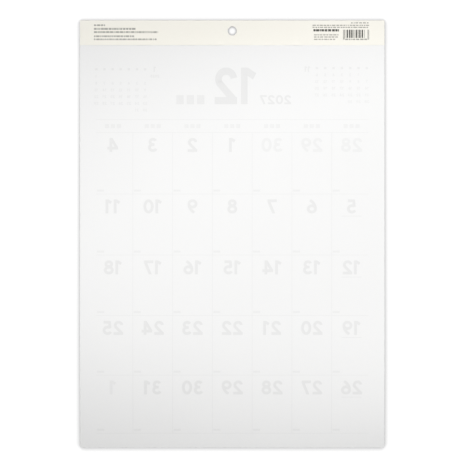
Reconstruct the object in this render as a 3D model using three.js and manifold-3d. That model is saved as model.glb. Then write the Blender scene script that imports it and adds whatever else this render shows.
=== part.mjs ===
import * as THREE from 'three';
import { mergeVertices } from 'three/addons/utils/BufferGeometryUtils.js';
import Module from 'manifold-3d';

// A wall calendar: a pad of month leaves bound at the head by a folded card band, with one punched hole to
// hang it by. Millimetres, +Z up, +X across the width. It is read from -Y, and the back against the wall
// faces +Y. The origin is the centre of the hanging hole, midway through the bound head.

// Whole calendar
const sheetWidth = 300; // of the leaves, and of the band over them
const sheetHeight = 420; // of the leaves alone, without the fold above them
const holeDiameter = 9;
const holeDrop = 10.5; // from the top of the fold down to the hole's centre

// Pad of leaves
const leafCount = 12; // one for each month
const leafThickness = 0.12;
const leafGap = 0.03; // between two leaves, glue at the head and air below it
const footSpread = 0.12; // what each of those gaps gains by the foot, where the leaves hang loose
const curlHeight = 120; // lowest stretch of the leaves, which curls forward as a whole
const footCurl = 6; // how far that curl brings the foot forward

// Header band
const bandLeg = 24.5; // from the top of the fold down to the band's lower edge
const bandThickness = 0.3;
const foldClearance = 0.3; // from the leaves' top edge up to where the fold starts to curve
const looseEdge = 5; // strip along the lower edge that the glue doesn't reach
const edgeSpring = 0.06; // how far the loose back edge stands off the leaves all along

// Places where the loose back edge has come further away from the leaves
const edgeLifts = [
  { at: 119, span: 16, rise: 0.14 },
  { at: 91, span: 14, rise: 0.2 },
  { at: 82, span: 6, rise: 0.3 },
  { at: 39, span: 20, rise: 0.1 },
  { at: 11, span: 13, rise: 0.34 },
  { at: -34, span: 14, rise: 0.16 },
  { at: -63, span: 16, rise: 0.3 },
  { at: -95, span: 10, rise: 0.1 },
  { at: -110, span: 6, rise: 0.16 },
];

// Fineness of the curves
const holeSides = 48;
const foldSteps = 12;
const hangSteps = 3;
const curlSteps = 8;
const edgeSteps = 4;
const liftSteps = 6;

// Sizes and heights that follow from the ones above
const headHalf = (leafCount * leafThickness + (leafCount - 1) * leafGap) / 2;
const bandHalf = headHalf + bandThickness;
const foldTop = holeDrop;
const foldStart = foldTop - bandHalf;
const bandFoot = foldTop - bandLeg;
const glueLine = bandFoot + looseEdge;
const leafTop = foldStart - foldClearance;
const leafFoot = leafTop - sheetHeight;
const curlTop = leafFoot + curlHeight;

const wasm = await Module();
wasm.setup();

const paper = new THREE.MeshStandardMaterial({ color: 0xf3f3f1, roughness: 0.85, metalness: 0 });
const creamCard = new THREE.MeshStandardMaterial({ color: 0xf4f1e6, roughness: 0.8, metalness: 0 });

// Joins the closed outlines that stand at the given places along X. Each outline is a ring of Vector2 (y, z),
// counter-clockwise as seen from +X, and all have as many points.
function loftAlongX(places, outlineAt) {
  const rings = places.map(outlineAt);
  const size = rings[0].length;
  const positions = rings.flatMap((ring, i) => ring.flatMap((point) => [places[i], point.x, point.y]));
  const index = [];
  for (let i = 0; i < rings.length - 1; i += 1) {
    for (let j = 0; j < size; j += 1) {
      const near = i * size + j;
      const next = i * size + ((j + 1) % size);
      index.push(near, next, next + size, near, next + size, near + size);
    }
  }
  const last = (rings.length - 1) * size;
  for (const [a, b, c] of THREE.ShapeUtils.triangulateShape(rings[0], [])) {
    index.push(c, b, a);
  }
  for (const [a, b, c] of THREE.ShapeUtils.triangulateShape(rings.at(-1), [])) {
    index.push(last + a, last + b, last + c);
  }
  const geometry = new THREE.BufferGeometry();
  geometry.setAttribute('position', new THREE.Float32BufferAttribute(positions, 3));
  geometry.setIndex(index);
  return geometry;
}

function solidFrom(geometry) {
  const bare = geometry.clone();
  bare.deleteAttribute('normal');
  bare.deleteAttribute('uv');
  const merged = mergeVertices(bare);
  return new wasm.Manifold(new wasm.Mesh({
    numProp: 3,
    vertProperties: merged.getAttribute('position').array,
    triVerts: new Uint32Array(merged.index.array),
  }));
}

function geometryFrom(solid) {
  const { vertProperties, triVerts } = solid.getMesh();
  const geometry = new THREE.BufferGeometry();
  geometry.setAttribute('position', new THREE.BufferAttribute(vertProperties, 3));
  geometry.setIndex(new THREE.BufferAttribute(triVerts, 1));
  geometry.computeVertexNormals();
  return geometry;
}

// The hanging hole, punched through the finished head along Y
function punchHole(geometry) {
  const punchLength = 4 * bandHalf;
  const punch = new THREE.CylinderGeometry(holeDiameter / 2, holeDiameter / 2, punchLength, holeSides);
  return geometryFrom(solidFrom(geometry).subtract(solidFrom(punch)));
}

// Fractions from 0 to 1 in equal steps
function fractions(steps) {
  return Array.from({ length: steps + 1 }, (_, i) => i / steps);
}

// Heights from one level down to another in equal steps
function heights(from, to, steps) {
  return fractions(steps).map((t) => THREE.MathUtils.lerp(from, to, t));
}

// How far a leaf hangs forward of the glued head at one height. Leaves are counted from the back: the back
// one hangs straight down to the curl, and each one ahead of it also leans away once it is clear of the band.
function forward(leaf, z) {
  const hang = Math.max(0, (bandFoot - z) / (bandFoot - leafFoot));
  const curl = Math.max(0, (curlTop - z) / curlHeight);
  return leaf * footSpread * hang ** 2 + footCurl * curl ** 2;
}

// One side of a loose leaf, from the glue line down to the foot
function leafSide(leaf, y) {
  const hanging = leaf === 0 ? [] : heights(bandFoot, curlTop, hangSteps).slice(0, -1);
  const levels = [glueLine, ...hanging, ...heights(curlTop, leafFoot, curlSteps)];
  return levels.map((z) => new THREE.Vector2(y - forward(leaf, z), z));
}

// The pad in section: one block at the glued head, and separate leaves below it
function padOutline() {
  const outline = [
    new THREE.Vector2(headHalf, leafTop),
    new THREE.Vector2(-headHalf, leafTop),
  ];
  for (let leaf = leafCount - 1; leaf >= 0; leaf -= 1) {
    const back = headHalf - leaf * (leafThickness + leafGap);
    const front = back - leafThickness;
    outline.push(...leafSide(leaf, front), ...leafSide(leaf, back).reverse());
  }
  return outline;
}

function monthLeaves() {
  const ends = [-sheetWidth / 2, sheetWidth / 2];
  const mesh = new THREE.Mesh(punchHole(loftAlongX(ends, padOutline)), paper);
  mesh.name = 'month_leaves';
  return mesh;
}

// How far the band's lower back edge stands off the leaves at one place across the width
function edgeRise(x) {
  const risen = edgeLifts.filter((lift) => Math.abs(x - lift.at) < lift.span / 2);
  return risen.reduce(
    (sum, lift) => sum + lift.rise * 0.5 * (1 + Math.cos((2 * Math.PI * (x - lift.at)) / lift.span)),
    edgeSpring,
  );
}

// One face of the back leg below the glue, from its lower edge up to the glue line
function looseFace(x, y) {
  return heights(bandFoot, glueLine, edgeSteps).map((z) => new THREE.Vector2(
    y + edgeRise(x) * ((glueLine - z) / looseEdge) ** 2,
    z,
  ));
}

// Half circle over the leaves' top edge, from the back to the front
function foldArc(radius) {
  return fractions(foldSteps).map((t) => new THREE.Vector2(
    radius * Math.cos(Math.PI * t),
    foldStart + radius * Math.sin(Math.PI * t),
  ));
}

// The band in section at one place across the width: up the back, over the fold and down the front
function bandOutline(x) {
  return [
    ...looseFace(x, bandHalf),
    ...foldArc(bandHalf),
    new THREE.Vector2(-bandHalf, bandFoot),
    new THREE.Vector2(-headHalf, bandFoot),
    ...foldArc(headHalf).reverse(),
    ...looseFace(x, headHalf).reverse(),
  ];
}

function headerBand() {
  const liftPlaces = edgeLifts.flatMap((lift) => (
    fractions(liftSteps).map((t) => lift.at + (t - 0.5) * lift.span)
  ));
  const inside = [...new Set(liftPlaces)].filter((x) => Math.abs(x) < sheetWidth / 2);
  const places = [-sheetWidth / 2, ...inside.sort((a, b) => a - b), sheetWidth / 2];
  const mesh = new THREE.Mesh(punchHole(loftAlongX(places, bandOutline)), creamCard);
  mesh.name = 'header_band';
  return mesh;
}

const calendar = new THREE.Group();
calendar.name = 'wall_calendar';
calendar.add(monthLeaves(), headerBand());

export default calendar;
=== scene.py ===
import calendar
import math
import random

import bmesh
import bpy
from mathutils import Matrix, Vector


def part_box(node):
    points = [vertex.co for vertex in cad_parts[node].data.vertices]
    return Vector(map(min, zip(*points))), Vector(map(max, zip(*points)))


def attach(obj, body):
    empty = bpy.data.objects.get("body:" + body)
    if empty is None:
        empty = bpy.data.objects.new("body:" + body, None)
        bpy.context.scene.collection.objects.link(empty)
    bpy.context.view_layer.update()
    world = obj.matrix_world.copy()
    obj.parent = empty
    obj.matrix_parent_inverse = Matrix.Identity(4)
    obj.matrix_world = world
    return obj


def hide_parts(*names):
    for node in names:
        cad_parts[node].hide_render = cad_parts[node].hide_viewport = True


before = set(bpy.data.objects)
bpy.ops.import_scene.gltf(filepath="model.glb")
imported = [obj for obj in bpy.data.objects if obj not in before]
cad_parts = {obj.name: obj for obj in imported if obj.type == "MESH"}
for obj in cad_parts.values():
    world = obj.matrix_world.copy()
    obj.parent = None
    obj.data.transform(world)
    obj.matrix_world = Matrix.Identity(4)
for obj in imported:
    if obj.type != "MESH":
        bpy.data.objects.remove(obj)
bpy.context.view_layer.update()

mm = 0.001
scene = bpy.context.scene

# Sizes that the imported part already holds
leafLow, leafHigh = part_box("month_leaves")
bandLow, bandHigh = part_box("header_band")
halfWidth = leafHigh.x
headHalf = leafHigh.y  # half the glued head, the origin lies midway through it
bandHalf = -bandLow.y
foldStart = bandHigh.z - bandHalf  # where the band begins to bend over
hole = {"radius": 4.5 * mm, "sides": 96, "punchLength": 6 * bandHalf}  # at the origin, along Y
print("frame loaded, calendar", round(2 * halfWidth / mm), "mm wide")


# Small helpers for meshes

facingFront = Matrix.Rotation(math.pi / 2, 4, "X")  # turns what is drawn face up to face -Y
facingBack = Matrix.Rotation(-math.pi / 2, 4, "X")  # and the same for +Y


def evenSteps(start, end, steps):
    return [start + (end - start) * i / steps for i in range(steps + 1)]


def finishPiece(bm, name, materials):
    mesh = bpy.data.meshes.new(name)
    bm.to_mesh(mesh)
    bm.free()
    for material in materials:
        mesh.materials.append(material)
    piece = bpy.data.objects.new(name, mesh)
    scene.collection.objects.link(piece)
    return piece


def smoothFaces(piece, sharpFrom):
    for face in piece.data.polygons:
        face.use_smooth = True
    piece.data.set_sharp_from_angle(angle=math.radians(sharpFrom))


def applyModifiers(piece):
    bpy.context.view_layer.update()
    finished = bpy.data.meshes.new_from_object(piece.evaluated_get(bpy.context.evaluated_depsgraph_get()))
    piece.modifiers.clear()
    piece.data = finished


def combine(piece, operation, others):
    for other in others:
        cut = piece.modifiers.new("combine", "BOOLEAN")
        cut.operation = operation
        cut.solver = "EXACT"
        cut.object = other
    applyModifiers(piece)
    for other in others:
        bpy.data.objects.remove(other)


def punchHole(piece):
    bm = bmesh.new()
    bmesh.ops.create_cone(
        bm, cap_ends=True, segments=hole["sides"], radius1=hole["radius"], radius2=hole["radius"],
        depth=hole["punchLength"], matrix=facingFront)
    combine(piece, "DIFFERENCE", [finishPiece(bm, "hole_cutter", [])])


def grownVerts(extruded):
    return [part for part in extruded["geom"] if isinstance(part, bmesh.types.BMVert)]


def cutThrough(bm, place, normal, meet, **options):
    everything = bm.verts[:] + bm.edges[:] + bm.faces[:]
    bmesh.ops.bisect_plane(bm, geom=everything, dist=meet, plane_co=place, plane_no=normal, **options)


# Materials: uncoated paper, its printed tones, and the card of the band

pulp = {
    "cloudDetail": 5, "fibreDetail": 8, "fibreRoughness": 0.62, "fibreShare": 0.5,
    "darkUpTo": 0.3, "lightFrom": 0.7, "roughnessRange": 0.06, "reliefHeight": 0.02 * mm,
}


def paperMaterial(name, settings):
    material = bpy.data.materials.new(name)
    material.use_nodes = True
    nodes, links = material.node_tree.nodes, material.node_tree.links
    shader = nodes["Principled BSDF"]
    shader.inputs["Specular IOR Level"].default_value = settings["sheen"]
    place = nodes.new("ShaderNodeTexCoord")

    cloud = nodes.new("ShaderNodeTexNoise")  # slow unevenness of the pulp
    cloud.inputs["Scale"].default_value = settings["cloudScale"]
    cloud.inputs["Detail"].default_value = pulp["cloudDetail"]
    links.new(place.outputs["Object"], cloud.inputs["Vector"])

    stretch = nodes.new("ShaderNodeMapping")  # fibres lie mostly along the grain
    stretch.inputs["Scale"].default_value = settings["grain"]
    links.new(place.outputs["Object"], stretch.inputs["Vector"])
    fibre = nodes.new("ShaderNodeTexNoise")
    fibre.inputs["Scale"].default_value = settings["fibreScale"]
    fibre.inputs["Detail"].default_value = pulp["fibreDetail"]
    fibre.inputs["Roughness"].default_value = pulp["fibreRoughness"]
    links.new(stretch.outputs["Vector"], fibre.inputs["Vector"])

    weave = nodes.new("ShaderNodeMix")  # both noises together
    weave.data_type = "FLOAT"
    weave.inputs["Factor"].default_value = pulp["fibreShare"]
    links.new(cloud.outputs["Fac"], weave.inputs["A"])
    links.new(fibre.outputs["Fac"], weave.inputs["B"])

    tone = nodes.new("ShaderNodeValToRGB")
    tone.color_ramp.elements[0].position = pulp["darkUpTo"]
    tone.color_ramp.elements[1].position = pulp["lightFrom"]
    tone.color_ramp.elements[0].color = (*settings["dark"], 1)
    tone.color_ramp.elements[1].color = (*settings["light"], 1)
    links.new(weave.outputs["Result"], tone.inputs["Fac"])
    links.new(tone.outputs["Color"], shader.inputs["Base Color"])

    gloss = nodes.new("ShaderNodeMapRange")
    gloss.inputs["To Min"].default_value = settings["roughness"] - pulp["roughnessRange"]
    gloss.inputs["To Max"].default_value = settings["roughness"] + pulp["roughnessRange"]
    links.new(fibre.outputs["Fac"], gloss.inputs["Value"])
    links.new(gloss.outputs["Result"], shader.inputs["Roughness"])

    relief = nodes.new("ShaderNodeBump")
    relief.inputs["Strength"].default_value = settings["relief"]
    relief.inputs["Distance"].default_value = pulp["reliefHeight"]
    links.new(fibre.outputs["Fac"], relief.inputs["Height"])
    links.new(relief.outputs["Normal"], shader.inputs["Normal"])
    return material


leafPaper = {
    "light": (0.905, 0.905, 0.901), "dark": (0.885, 0.885, 0.88), "roughness": 0.88, "sheen": 0.3,
    "cloudScale": 9, "fibreScale": 900, "grain": (1, 1, 0.45), "relief": 0.35,
}
creamCard = {
    "light": (0.965, 0.944, 0.87), "dark": (0.943, 0.92, 0.842), "roughness": 0.8, "sheen": 0.35,
    "cloudScale": 14, "fibreScale": 700, "grain": (0.4, 1, 1), "relief": 0.5,
}


def toned(settings, share):
    darker = {key: tuple(share * part for part in settings[key]) for key in ("light", "dark")}
    return {**settings, **darker}


paper = paperMaterial("leaf_paper", leafPaper)
card = paperMaterial("band_card", creamCard)


# The pad of leaves, one block at the glued head and loose sheets below it

leaves = {
    "count": 12, "gap": 0.03 * mm, "footSpread": 0.12 * mm, "curlHeight": 120 * mm, "footCurl": 6 * mm,
    "looseEdge": 5 * mm, "hangSteps": 10, "curlSteps": 20, "acrossSteps": 24,
    "ripple": 0.2 * mm, "rippleLength": 190 * mm, "rippleTurn": 0.6, "sharpFrom": 30,
}
leafThickness = (2 * headHalf - (leaves["count"] - 1) * leaves["gap"]) / leaves["count"]
glueLine = bandLow.z + leaves["looseEdge"]
curlTop = leafLow.z + leaves["curlHeight"]


def hangShare(z):
    return max(0, (bandLow.z - z) / (bandLow.z - leafLow.z))


def leanForward(leaf, z):
    curl = max(0, (curlTop - z) / leaves["curlHeight"])
    return leaf * leaves["footSpread"] * hangShare(z) ** 2 + leaves["footCurl"] * curl ** 2


def rippleBack(x, z):
    turn = x / leaves["rippleLength"] + leaves["rippleTurn"] * hangShare(z)
    wave = 0.5 + 0.5 * math.sin(2 * math.pi * turn)
    return leaves["ripple"] * wave * hangShare(z) ** 2


hangLevels = evenSteps(bandLow.z, curlTop, leaves["hangSteps"])
curlLevels = evenSteps(curlTop, leafLow.z, leaves["curlSteps"])
acrossPlaces = evenSteps(-halfWidth, halfWidth, leaves["acrossSteps"])


def buildLeaves():
    levels = [glueLine] + hangLevels[:-1] + curlLevels
    bm = bmesh.new()
    outline = [(headHalf, leafHigh.z), (-headHalf, leafHigh.z)]
    for leaf in reversed(range(leaves["count"])):
        back = headHalf - leaf * (leafThickness + leaves["gap"])
        outline += [(back - leafThickness - leanForward(leaf, z), z) for z in levels]
        outline += [(back - leanForward(leaf, z), z) for z in reversed(levels)]
    end = [bm.faces.new([bm.verts.new((-halfWidth, y, z)) for y, z in outline])]
    for place in acrossPlaces[1:]:
        grown = bmesh.ops.extrude_face_region(bm, geom=end, use_keep_orig=place == acrossPlaces[1])
        for vert in grownVerts(grown):
            vert.co.x = place
        end = [part for part in grown["geom"] if isinstance(part, bmesh.types.BMFace)]
    for vert in bm.verts:
        vert.co.y += rippleBack(vert.co.x, vert.co.z)
    bmesh.ops.recalc_face_normals(bm, faces=bm.faces)
    piece = finishPiece(bm, "leaf_pad", [paper])
    smoothFaces(piece, leaves["sharpFrom"])
    punchHole(piece)
    return piece


leafPad = buildLeaves()
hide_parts("month_leaves")
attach(leafPad, "root")
print("leaves made, loose below", round(glueLine / mm, 1), "mm")


# The header band, a flat strip of card bent over the head

band = {
    "edgeSpring": 0.06 * mm, "foldSteps": 20, "looseSteps": 6, "legSteps": 3, "acrossSteps": 200,
    "sharpFrom": 35,
    # place across, span and height of each stretch where the loose back edge has come away, in millimetres
    "lifts": [(119, 16, 0.14), (91, 14, 0.2), (82, 6, 0.3), (39, 20, 0.1), (11, 13, 0.34), (-34, 14, 0.16),
              (-63, 16, 0.3), (-95, 10, 0.1), (-110, 6, 0.16)],
}


def edgeRise(x):
    rise = band["edgeSpring"]
    for at, span, height in band["lifts"]:
        turn = (x / mm - at) / span
        if abs(turn) < 0.5:
            rise += height * mm * 0.5 * (1 + math.cos(2 * math.pi * turn))
    return rise


def bandInside(x, along):
    kind, share = along
    if kind == "loose":
        return headHalf + edgeRise(x) * (1 - share) ** 2, bandLow.z + share * leaves["looseEdge"]
    if kind == "back":
        return headHalf, glueLine + share * (foldStart - glueLine)
    if kind == "fold":
        return headHalf * math.cos(math.pi * share), foldStart + headHalf * math.sin(math.pi * share)
    return -headHalf, foldStart + share * (bandLow.z - foldStart)


def buildBand():
    stretches = [("loose", band["looseSteps"]), ("back", band["legSteps"]), ("fold", band["foldSteps"]),
                 ("front", band["legSteps"])]
    stations = [(kind, i / steps) for kind, steps in stretches for i in range(steps)] + [("front", 1)]
    bm = bmesh.new()
    rows = len(stations) - 1
    strip = bmesh.ops.create_grid(bm, x_segments=band["acrossSteps"], y_segments=rows, size=0.5)["verts"]
    for vert in strip:
        across = vert.co.x * 2 * halfWidth
        y, z = bandInside(across, stations[round((vert.co.y + 0.5) * rows)])
        vert.co = (across, y, z)
    bmesh.ops.reverse_faces(bm, faces=bm.faces)  # so that they face away from the leaves
    piece = finishPiece(bm, "folded_band", [card])
    wall = piece.modifiers.new("card", "SOLIDIFY")
    wall.thickness = bandHalf - headHalf
    wall.offset = 1
    applyModifiers(piece)
    punchHole(piece)
    smoothFaces(piece, band["sharpFrom"])
    return piece


foldedBand = buildBand()
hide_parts("header_band")
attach(foldedBand, "root")
print("band folded over the head,", len(band["lifts"]), "stretches of its edge lifted")


# Everything printed is laid out flat, as it is read, and then laid on its surface

toneNames = ("strong", "middle", "faint")
ink = {
    "lift": 0.004 * mm, "depth": 0.022 * mm, "cutMeet": 1e-7,
    # how light each tone is, against the paper or card that it is printed on
    "shares": {"ink": (0.05, 0.32, 0.5), "ghost": (0.908, 0.928, 0.948), "card_ink": (0.1, 0.44, 0.7)},
}


def printTones(kind, settings):
    return [paperMaterial(kind + "_" + name, toned(settings, share))
            for name, share in zip(toneNames, ink["shares"][kind])]


def addBar(bm, centre, width, height, tone):
    stand = Matrix.Translation((centre[0], 0, centre[1])) @ facingFront
    place = stand @ Matrix.Diagonal((width, height, 1, 1))
    made = bmesh.ops.create_grid(bm, x_segments=1, y_segments=1, size=0.5, matrix=place)["verts"]
    for face in {face for vert in made for face in vert.link_faces}:
        face.material_index = toneNames.index(tone)


def addThreeBars(bm, centre, pitch, size, tone):
    for step in (-1, 0, 1):
        addBar(bm, (centre[0] + step * pitch, centre[1]), *size, tone)


# Bold plain numerals, drawn one unit high as strokes along arcs and straight lines

numeral = {"weight": 0.2, "space": 0.12, "fine": 16, "coarse": 6, "slab": 0.1, "meet": 1e-5, "cutMeet": 1e-6,
           "turnWidth": 0.7}  # a nine is a six turned round in this width


def arc(centre, radii, start, end, steps):
    turns = evenSteps(math.radians(start), math.radians(end), steps)
    (x, y), (wide, tall) = centre, radii
    return [Vector((x + wide * math.cos(turn), y + tall * math.sin(turn), 0)) for turn in turns]


def straight(start, end):
    return [Vector((*start, 0)), Vector((*end, 0))]


def sweep(start, pull, end, steps):
    a, b, c = (Vector((*point, 0)) for point in (start, pull, end))
    return [a.lerp(b, t).lerp(b.lerp(c, t), t) for t in evenSteps(0, 1, steps)]


def turned(lines):
    width = numeral["turnWidth"]
    return [[Vector((width - point.x, 1 - point.y, 0)) for point in line] for line in lines]


def digitStrokes(n):
    strokes = {
        "0": [arc((0.36, 0.5), (0.265, 0.405), 0, 360, 4 * n)],
        "1": [straight((0.335, 0), (0.335, 1)), straight((0.02, 0.76), (0.3, 0.93))],
        "2": [arc((0.33, 0.68), (0.235, 0.225), 172, -28, 2 * n) + [Vector((0.1, 0.12, 0))],
              straight((0, 0.095), (0.68, 0.095))],
        "3": [arc((0.31, 0.715), (0.21, 0.19), 155, -90, 2 * n),
              arc((0.31, 0.31), (0.25, 0.215), 90, -155, 2 * n), straight((0.2, 0.525), (0.33, 0.525))],
        "4": [straight((0.51, 0), (0.51, 1)), straight((0, 0.27), (0.76, 0.27)),
              straight((0.06, 0.24), (0.49, 0.96))],
        "5": [straight((0.12, 0.905), (0.62, 0.905)), straight((0.2, 0.93), (0.165, 0.47)),
              arc((0.33, 0.325), (0.255, 0.23), 132, -152, 2 * n)],
        "6": [arc((0.35, 0.32), (0.255, 0.225), 0, 360, 4 * n),
              sweep((0.095, 0.33), (0.1, 0.7), (0.48, 0.95), n)],
        "7": [straight((0, 0.905), (0.66, 0.905)), straight((0.59, 0.9), (0.2, -0.05))],
        "8": [arc((0.35, 0.735), (0.205, 0.17), 0, 360, 4 * n),
              arc((0.35, 0.305), (0.25, 0.21), 0, 360, 4 * n)],
    }
    return {**strokes, "9": turned(strokes["6"])}


def strokeSlab(points):
    closed = (points[0] - points[-1]).length < numeral["meet"]
    bm = bmesh.new()
    near, far = bm.verts.new(), bm.verts.new()
    rim = bm.edges.new((near, far))
    for i, point in enumerate(points):
        behind = points[i - 1] if i else points[-2] if closed else point
        ahead = points[i + 1] if i < len(points) - 1 else points[1] if closed else point
        along = (ahead - behind).normalized()
        aside = Vector((-along.y, along.x, 0)) * numeral["weight"] / 2
        if i:
            grown = grownVerts(bmesh.ops.extrude_edge_only(bm, edges=[rim]))
            near, far = sorted(grown, key=lambda vert: (vert.co - near.co).length)
            rim = bm.edges.get((near, far))
        near.co, far.co = point + aside, point - aside
    bmesh.ops.remove_doubles(bm, verts=bm.verts, dist=numeral["meet"])
    top = bmesh.ops.extrude_face_region(bm, geom=bm.faces[:], use_keep_orig=True)
    bmesh.ops.translate(bm, verts=grownVerts(top), vec=(0, 0, numeral["slab"]))
    bmesh.ops.recalc_face_normals(bm, faces=bm.faces)
    return finishPiece(bm, "stroke", [])


def drawDigit(lines):
    strokes = [strokeSlab(points) for points in lines]
    combine(strokes[0], "UNION", strokes[1:])
    joined = strokes[0].data
    bpy.data.objects.remove(strokes[0])
    bm = bmesh.new()
    bm.from_mesh(joined)
    bm.normal_update()
    notTop = [face for face in bm.faces if face.normal.z < 0.5]
    bmesh.ops.delete(bm, geom=notTop, context="FACES")
    for height, away in ((0, -1), (1, 1)):
        cutThrough(bm, (0, height, 0), (0, away, 0), numeral["cutMeet"], clear_outer=True)
    leftmost = min(vert.co.x for vert in bm.verts)
    bmesh.ops.translate(bm, verts=bm.verts, vec=(-leftmost, 0, -numeral["slab"]))
    bmesh.ops.triangulate(bm, faces=bm.faces)
    bm.to_mesh(joined)
    bm.free()
    return joined


digits = {}
for fineness in ("fine", "coarse"):
    for digit, lines in digitStrokes(numeral[fineness]).items():
        digits[digit, fineness] = drawDigit(lines)
print(len(digits), "numerals drawn")


def addNumeral(bm, text, centre, height, tone, fineness="fine", stretch=1):
    parts = [digits[digit, fineness] for digit in text]
    widths = [max(vert.co.x for vert in part.vertices) for part in parts]
    across = -(sum(widths) + numeral["space"] * (len(parts) - 1)) / 2
    stand = Matrix.Translation((centre[0], 0, centre[1])) @ facingFront
    for part, width in zip(parts, widths):
        flat = part.copy()
        sized = Matrix.Diagonal((stretch * height, height, height, 1))
        flat.transform(stand @ sized @ Matrix.Translation((across, -0.5, 0)))
        for face in flat.polygons:
            face.material_index = toneNames.index(tone)
        bm.from_mesh(flat)
        bpy.data.meshes.remove(flat)
        across += width + numeral["space"]


def layDown(bm, name, surface, outward, materials):
    bmesh.ops.triangulate(bm, faces=bm.faces)
    for level in hangLevels + curlLevels:
        cutThrough(bm, (0, 0, level), (0, 0, 1), ink["cutMeet"])
    for place in acrossPlaces:
        cutThrough(bm, (place, 0, 0), (1, 0, 0), ink["cutMeet"])
    for vert in bm.verts:
        vert.co.y = surface(vert.co.x, vert.co.z) + outward * ink["lift"]
    raised = bmesh.ops.extrude_face_region(bm, geom=bm.faces[:], use_keep_orig=True)
    bmesh.ops.translate(bm, verts=grownVerts(raised), vec=(0, outward * ink["depth"], 0))
    bmesh.ops.recalc_face_normals(bm, faces=bm.faces)
    return finishPiece(bm, name, materials)


# One month's page as it is read: a big month number, the neighbouring months and a grid of days

page = {
    "year": 2027, "columns": 7, "columnPitch": 39.2 * mm, "gridHalf": 134.2 * mm,
    "gridTop": -100.1 * mm, "headTop": -87.4 * mm,
    "rowFeet": [-160.7 * mm, -220.8 * mm, -280.4 * mm, -339.2 * mm, -396.7 * mm],
    "rule": 0.55 * mm, "headMark": (4.0 * mm, 3.9 * mm), "headMarkPitch": 5.9 * mm,
    "dayHeight": 13.8 * mm, "dayDrop": 5.3 * mm,
    "underline": (19.7 * mm, 0.6 * mm), "underlineDrop": 2.6 * mm,
    "cellMark": (6.9 * mm, 2.0 * mm), "cellMarkInset": (4.4 * mm, 3.4 * mm),
    "sixthWeek": 0.6, "sixthLift": 8.3 * mm,  # size and place of a sixth week, which shares the fifth's cells
    "monthCentre": (-3.2 * mm, -54.1 * mm), "monthHeight": 36 * mm, "monthStretch": 0.9,
    "yearCentre": (-42.6 * mm, -67.7 * mm), "yearHeight": 8.9 * mm, "yearStretch": 1.1,
    "wordCentre": (41.3 * mm, -67.7 * mm), "wordMark": (7.2 * mm, 8.9 * mm), "wordPitch": 10.2 * mm,
}
neighbour = {"dayHeight": 2.8 * mm, "yearHeight": 2.8 * mm, "yearDrop": 6.7 * mm, "labelHeight": 5.4 * mm,
             "letterMark": (2.4 * mm, 2.2 * mm)}
before = {"first": -132.6 * mm, "pitch": 8.2 * mm, "headAt": -36.6 * mm, "top": -43.3 * mm, "row": 6.6 * mm,
          "labelCentre": (-74.2 * mm, -37.6 * mm), "withYear": False}
after = {"first": 85.8 * mm, "pitch": 8.03 * mm, "headAt": -37.8 * mm, "top": -45 * mm, "row": 6.6 * mm,
         "labelCentre": (76.2 * mm, -37.8 * mm), "withYear": True}
weeks = calendar.Calendar(firstweekday=calendar.SUNDAY)


def columnCentre(column):
    return (column - page["columns"] // 2) * page["columnPitch"]


def addNeighbour(bm, year, month, style, tone):
    across, level = style["labelCentre"]
    addNumeral(bm, str(month), (across, level), neighbour["labelHeight"], tone)
    if style["withYear"]:
        below = (across, level - neighbour["yearDrop"])
        addNumeral(bm, str(year), below, neighbour["yearHeight"], tone, "coarse")
    for column in range(page["columns"]):
        place = style["first"] + column * style["pitch"]
        addBar(bm, (place, style["headAt"]), *neighbour["letterMark"], tone)
        for row, week in enumerate(weeks.monthdayscalendar(year, month)):
            if week[column]:
                centre = (place, style["top"] - row * style["row"])
                addNumeral(bm, str(week[column]), centre, neighbour["dayHeight"], tone, "coarse")


def addMonthHead(bm, year, month):
    addNumeral(bm, str(month), page["monthCentre"], page["monthHeight"], "strong",
               stretch=page["monthStretch"])
    addNumeral(bm, str(year), page["yearCentre"], page["yearHeight"], "strong",
               stretch=page["yearStretch"])
    addThreeBars(bm, page["wordCentre"], page["wordPitch"], page["wordMark"], "middle")
    addNeighbour(bm, year - (month == 1), (month - 2) % 12 + 1, before, "middle")
    addNeighbour(bm, year + (month == 12), month % 12 + 1, after, "middle")


def addGrid(bm):
    width = 2 * page["gridHalf"]
    tall = page["gridTop"] - page["rowFeet"][-1]
    headMiddle = (page["headTop"] + page["gridTop"]) / 2
    for level in [page["headTop"], page["gridTop"]] + page["rowFeet"]:
        addBar(bm, (0, level), width, page["rule"], "faint")
    for column in range(page["columns"]):
        centre = columnCentre(column)
        addThreeBars(bm, (centre, headMiddle), page["headMarkPitch"], page["headMark"], "faint")
        if column:
            edge = centre - page["columnPitch"] / 2
            addBar(bm, (edge, page["gridTop"] - tall / 2), page["rule"], tall, "faint")


def addDays(bm, year, month):
    tops = [page["gridTop"]] + page["rowFeet"][:-1]
    for row, week in enumerate(weeks.monthdatescalendar(year, month)):
        for column, day in enumerate(week):
            own = day.month == month
            inGrid = row < len(tops)
            height = page["dayHeight"]
            if inGrid:
                middle = tops[row] - page["dayDrop"] - height / 2
            elif own:
                height *= page["sixthWeek"]
                middle = page["rowFeet"][-1] + page["sixthLift"] + height / 2
            else:
                continue
            centre = columnCentre(column)
            addNumeral(bm, str(day.day), (centre, middle), height, "strong" if own else "faint")
            if column == 0 and own:
                below = (centre, middle - height / 2 - page["underlineDrop"])
                addBar(bm, below, *page["underline"], "middle")
            if inGrid:
                right = min(centre + page["columnPitch"] / 2, page["gridHalf"])
                mark = (right - page["cellMarkInset"][0], page["rowFeet"][row] + page["cellMarkInset"][1])
                addBar(bm, mark, *page["cellMark"], "faint")


def buildPage(name, year, month, surface, outward, materials):
    bm = bmesh.new()
    addMonthHead(bm, year, month)
    addGrid(bm)
    addDays(bm, year, month)
    piece = layDown(bm, name, surface, outward, materials)
    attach(piece, "root")
    print(name, "laid down with", len(piece.data.polygons), "faces")


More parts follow.
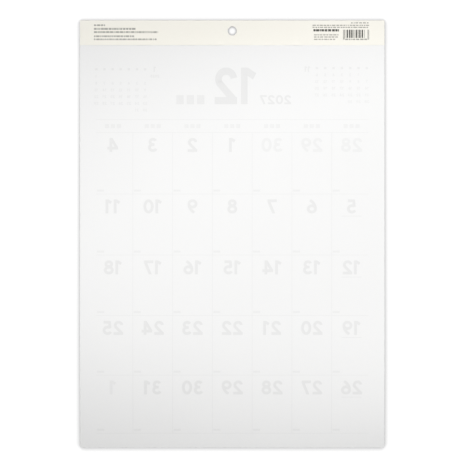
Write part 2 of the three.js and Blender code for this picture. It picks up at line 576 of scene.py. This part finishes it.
def frontFace(x, z):
    return -headHalf - leanForward(leaves["count"] - 1, z) + rippleBack(x, z)


def backFace(x, z):
    return headHalf - leanForward(0, z) + rippleBack(x, z)


buildPage("first_month_print", page["year"], 1, frontFace, -1, printTones("ink", leafPaper))
buildPage("last_month_ghost", page["year"], 12, backFace, 1, printTones("ghost", leafPaper))


# Small print on the back of the band, as plain dashes and bars

bandPrint = {
    # left end as seen from behind, height, length and line height of each line, in millimetres
    "lines": [
        (136.2, 5.6, 10.8, 1.5), (136.2, 2.0, 41.4, 1.9), (136.2, -1.2, 63.1, 1.7), (136.2, -5.3, 39.4, 1.6),
        (136.2, -8.3, 61.6, 1.5), (-117.0, 7.9, 17.7, 1.1), (-79.1, 5.5, 55.7, 1.1), (-79.1, 3.5, 55.7, 1.1),
        (-80.0, 0.6, 25.1, 2.2), (-80.5, -3.9, 24.6, 1.1), (-80.5, -6.0, 24.6, 1.1), (-80.5, -8.3, 21.4, 1.1),
        (-111.2, -8.3, 21.6, 1.4),
    ],
    "word": (0.8, 3.6), "wordGap": (0.45, 0.9), "leastWord": 0.4, "heavyFrom": 2,
    "barLeft": -109.3, "barRight": -134.7, "barTop": 1.2, "barFoot": -6.9,
    "guards": (0.2, 1.1), "guardWidth": 0.4, "guardFoot": -8.6, "guardZone": 1.7,
    "barWidths": (0.35, 0.35, 0.7, 1.0, 1.4), "barGaps": (0.5, 0.7, 1.0, 1.3), "seed": 11,
}


def addSmallLine(bm, chance, start, level, length, height):
    tone = "middle" if height < bandPrint["heavyFrom"] else "strong"
    done = 0
    while done < length:
        word = min(chance.uniform(*bandPrint["word"]), length - done)
        if word > bandPrint["leastWord"]:
            addBar(bm, ((start - done - word / 2) * mm, level * mm), word * mm, height * mm, tone)
        done += word + chance.uniform(*bandPrint["wordGap"])


def addStripe(bm, place, width, foot):
    top = bandPrint["barTop"]
    addBar(bm, (place * mm, (top + foot) / 2 * mm), width * mm, (top - foot) * mm, "strong")


def addStripes(bm, chance):
    for inward in bandPrint["guards"]:
        for place in (bandPrint["barLeft"] - inward, bandPrint["barRight"] + inward):
            addStripe(bm, place, bandPrint["guardWidth"], bandPrint["guardFoot"])
    place = bandPrint["barLeft"] - bandPrint["guardZone"]
    while place - max(bandPrint["barWidths"]) > bandPrint["barRight"] + bandPrint["guardZone"]:
        width = chance.choice(bandPrint["barWidths"])
        addStripe(bm, place - width / 2, width, bandPrint["barFoot"])
        place -= width + chance.choice(bandPrint["barGaps"])


def buildBandPrint():
    chance = random.Random(bandPrint["seed"])
    bm = bmesh.new()
    for line in bandPrint["lines"]:
        addSmallLine(bm, chance, *line)
    addStripes(bm, chance)
    piece = layDown(bm, "band_small_print", lambda x, z: bandHalf, 1, printTones("card_ink", creamCard))
    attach(piece, "root")


buildBandPrint()
print("small print laid down on the band")


# Floor, and a white sheet close behind the side that is read, which only shows from the other side and
# carries painted shade round the calendar

stage = {
    "floorDrop": 40 * mm, "floorHalf": 4, "floorSeen": 0.35, "floorGlow": 0.75, "floorBounce": 0.08,
    "sheetGap": 0.5 * mm, "sheetMargin": 0.3, "sheetDrop": 30 * mm, "sheetShadeReach": 7 * mm, "sheetWhite": 1.1,
    "shadeSamples": 16, "discSides": 48,
    "discGap": 0.2 * mm, "discRadius": 7 * mm, "discShadeReach": 2.8 * mm, "discWhite": 1,
}


def stageMaterial(name):
    material = bpy.data.materials.new(name)
    material.use_nodes = True
    material.node_tree.nodes.clear()
    return material, material.node_tree.nodes, material.node_tree.links


def seenRays(nodes, links):  # 1 for rays from the camera, and for those that a shiny or clear piece sends on
    path = nodes.new("ShaderNodeLightPath")
    total = path.outputs["Is Camera Ray"]
    for kind in ("Is Glossy Ray", "Is Transmission Ray"):
        both = nodes.new("ShaderNodeMath")
        both.operation = "MAXIMUM"
        links.new(total, both.inputs[0])
        links.new(path.outputs[kind], both.inputs[1])
        total = both.outputs[0]
    return total


def floorMaterial():
    material, nodes, links = stageMaterial("floor_white")
    seen = seenRays(nodes, links)
    plain = nodes.new("ShaderNodeBsdfDiffuse")
    tone = nodes.new("ShaderNodeMapRange")  # pale to the eye, but throws little light back up
    tone.inputs["To Min"].default_value = stage["floorBounce"]
    tone.inputs["To Max"].default_value = stage["floorSeen"]
    glow = nodes.new("ShaderNodeEmission")
    strength = nodes.new("ShaderNodeMath")
    strength.operation = "MULTIPLY"
    strength.inputs[1].default_value = stage["floorGlow"]
    both = nodes.new("ShaderNodeAddShader")
    out = nodes.new("ShaderNodeOutputMaterial")
    links.new(seen, tone.inputs["Value"])
    links.new(tone.outputs["Result"], plain.inputs["Color"])
    links.new(seen, strength.inputs[0])
    links.new(strength.outputs[0], glow.inputs["Strength"])
    links.new(plain.outputs[0], both.inputs[0])
    links.new(glow.outputs[0], both.inputs[1])
    links.new(both.outputs[0], out.inputs["Surface"])
    return material


def sheetMaterial(name, reach, strength):
    material, nodes, links = stageMaterial(name)
    shade = nodes.new("ShaderNodeAmbientOcclusion")  # painted shade: the glow is dimmed by ambient occlusion, the soft shadow line that the calendar leaves around itself
    shade.samples = stage["shadeSamples"]
    shade.inputs["Distance"].default_value = reach
    level = nodes.new("ShaderNodeMapRange")
    level.inputs["To Max"].default_value = strength
    glow = nodes.new("ShaderNodeEmission")
    clear = nodes.new("ShaderNodeBsdfTransparent")
    side = nodes.new("ShaderNodeNewGeometry")
    facing = nodes.new("ShaderNodeMath")
    facing.operation = "SUBTRACT"
    facing.inputs[0].default_value = 1
    shown = nodes.new("ShaderNodeMath")
    shown.operation = "MULTIPLY"
    mix = nodes.new("ShaderNodeMixShader")
    out = nodes.new("ShaderNodeOutputMaterial")
    links.new(shade.outputs["AO"], level.inputs["Value"])
    links.new(level.outputs["Result"], glow.inputs["Strength"])
    links.new(side.outputs["Backfacing"], facing.inputs[1])
    links.new(seenRays(nodes, links), shown.inputs[0])
    links.new(facing.outputs[0], shown.inputs[1])
    links.new(shown.outputs[0], mix.inputs["Fac"])
    links.new(clear.outputs[0], mix.inputs[1])
    links.new(glow.outputs[0], mix.inputs[2])
    links.new(mix.outputs[0], out.inputs["Surface"])
    return material


def buildFloor():
    bm = bmesh.new()
    bmesh.ops.create_grid(bm, x_segments=1, y_segments=1, size=stage["floorHalf"],
                          matrix=Matrix.Translation((0, 0, leafLow.z - stage["floorDrop"])))
    finishPiece(bm, "floor", [floorMaterial()])


def buildSheet():
    levels = [leafLow.z - stage["sheetDrop"]] + curlLevels[::-1] + hangLevels[-2::-1]
    levels += [leafHigh.z, leafHigh.z + stage["sheetMargin"]]
    rows = len(levels) - 1
    bm = bmesh.new()
    bmesh.ops.create_grid(bm, x_segments=1, y_segments=rows, size=0.5, matrix=facingBack)
    for vert in bm.verts:
        level = levels[round((vert.co.z + 0.5) * rows)]
        lean = leanForward(leaves["count"] - 1, max(level, leafLow.z))
        across = math.copysign(halfWidth + stage["sheetMargin"], vert.co.x)
        vert.co = (across, -bandHalf - lean - stage["sheetGap"], level)
    # painted shade: the sheet glows white, dimmed by ambient occlusion into a soft shadow line round the
    # calendar's edges
    white = sheetMaterial("backdrop_painted_shade", stage["sheetShadeReach"], stage["sheetWhite"])
    finishPiece(bm, "backdrop", [white])


def buildDisc():
    bm = bmesh.new()
    place = Matrix.Translation((0, -bandHalf - stage["discGap"], 0)) @ facingBack
    bmesh.ops.create_circle(
        bm, cap_ends=True, segments=stage["discSides"], radius=stage["discRadius"], matrix=place)
    # painted shade: the disc glows white, dimmed by ambient occlusion into a dark ring just inside the hole's
    # rim
    white = sheetMaterial("hole_painted_shade", stage["discShadeReach"], stage["discWhite"])
    finishPiece(bm, "hole_backdrop", [white])


buildFloor()
buildSheet()
buildDisc()


# Light and camera

lamps = {
    "soft_spot": {"kind": "SPOT", "place": (-1.6, 1.3, -0.02), "aim": (-0.169, 0, -0.193), "energy": 112.8,
                  "spot_size": 0.34, "spot_blend": 0.88, "shadow_soft_size": 0.03},
    "side_lamp": {"kind": "AREA", "place": (1.56, 0.96, 0.28), "aim": (0, 0, -0.2), "energy": 32.1,
                  "shape": "DISK", "size": 0.8},
    "front_lamp": {"kind": "AREA", "place": (-0.7, -2, 0.5), "aim": (0, 0, -0.2), "energy": 42,
                   "shape": "DISK", "size": 1.2},
}
room = {"light": 0.3, "seen": 1, "colour": (1, 1, 1, 1)}
cameraView = {"lens": 200, "sensor": 36, "field": 461.1 * mm, "centre": (-1.72 * mm, -200.1 * mm)}


def addLamp(name, kind, place, aim, **settings):
    light = bpy.data.lights.new(name, kind)
    for key, value in settings.items():
        setattr(light, key, value)
    lamp = bpy.data.objects.new(name, light)
    lamp.location = place
    lamp.rotation_euler = (Vector(aim) - Vector(place)).to_track_quat("-Z", "Y").to_euler()
    lamp.visible_camera = False
    scene.collection.objects.link(lamp)


def lightRoom():
    world = bpy.data.worlds.new("studio")
    scene.world = world
    world.use_nodes = True
    nodes, links = world.node_tree.nodes, world.node_tree.links
    around = nodes["Background"]
    behind = nodes.new("ShaderNodeBackground")
    for background, strength in ((around, room["light"]), (behind, room["seen"])):
        background.inputs["Color"].default_value = room["colour"]
        background.inputs["Strength"].default_value = strength
    choose = nodes.new("ShaderNodeMixShader")
    links.new(seenRays(nodes, links), choose.inputs["Fac"])
    links.new(around.outputs[0], choose.inputs[1])
    links.new(behind.outputs[0], choose.inputs[2])
    links.new(choose.outputs[0], nodes["World Output"].inputs["Surface"])


def placeCamera():
    data = bpy.data.cameras.new("camera")
    data.lens = cameraView["lens"]
    data.sensor_width = cameraView["sensor"]
    camera = bpy.data.objects.new("camera", data)
    across, level = cameraView["centre"]
    distance = cameraView["field"] * cameraView["lens"] / cameraView["sensor"]
    camera.location = (across, bandHalf + distance, level)
    camera.rotation_euler = (math.pi / 2, 0, math.pi)
    scene.collection.objects.link(camera)
    scene.camera = camera


for name, settings in lamps.items():
    addLamp(name, **settings)
lightRoom()
placeCamera()
scene.view_settings.view_transform = "Standard"
print("stage, lamps and camera set")
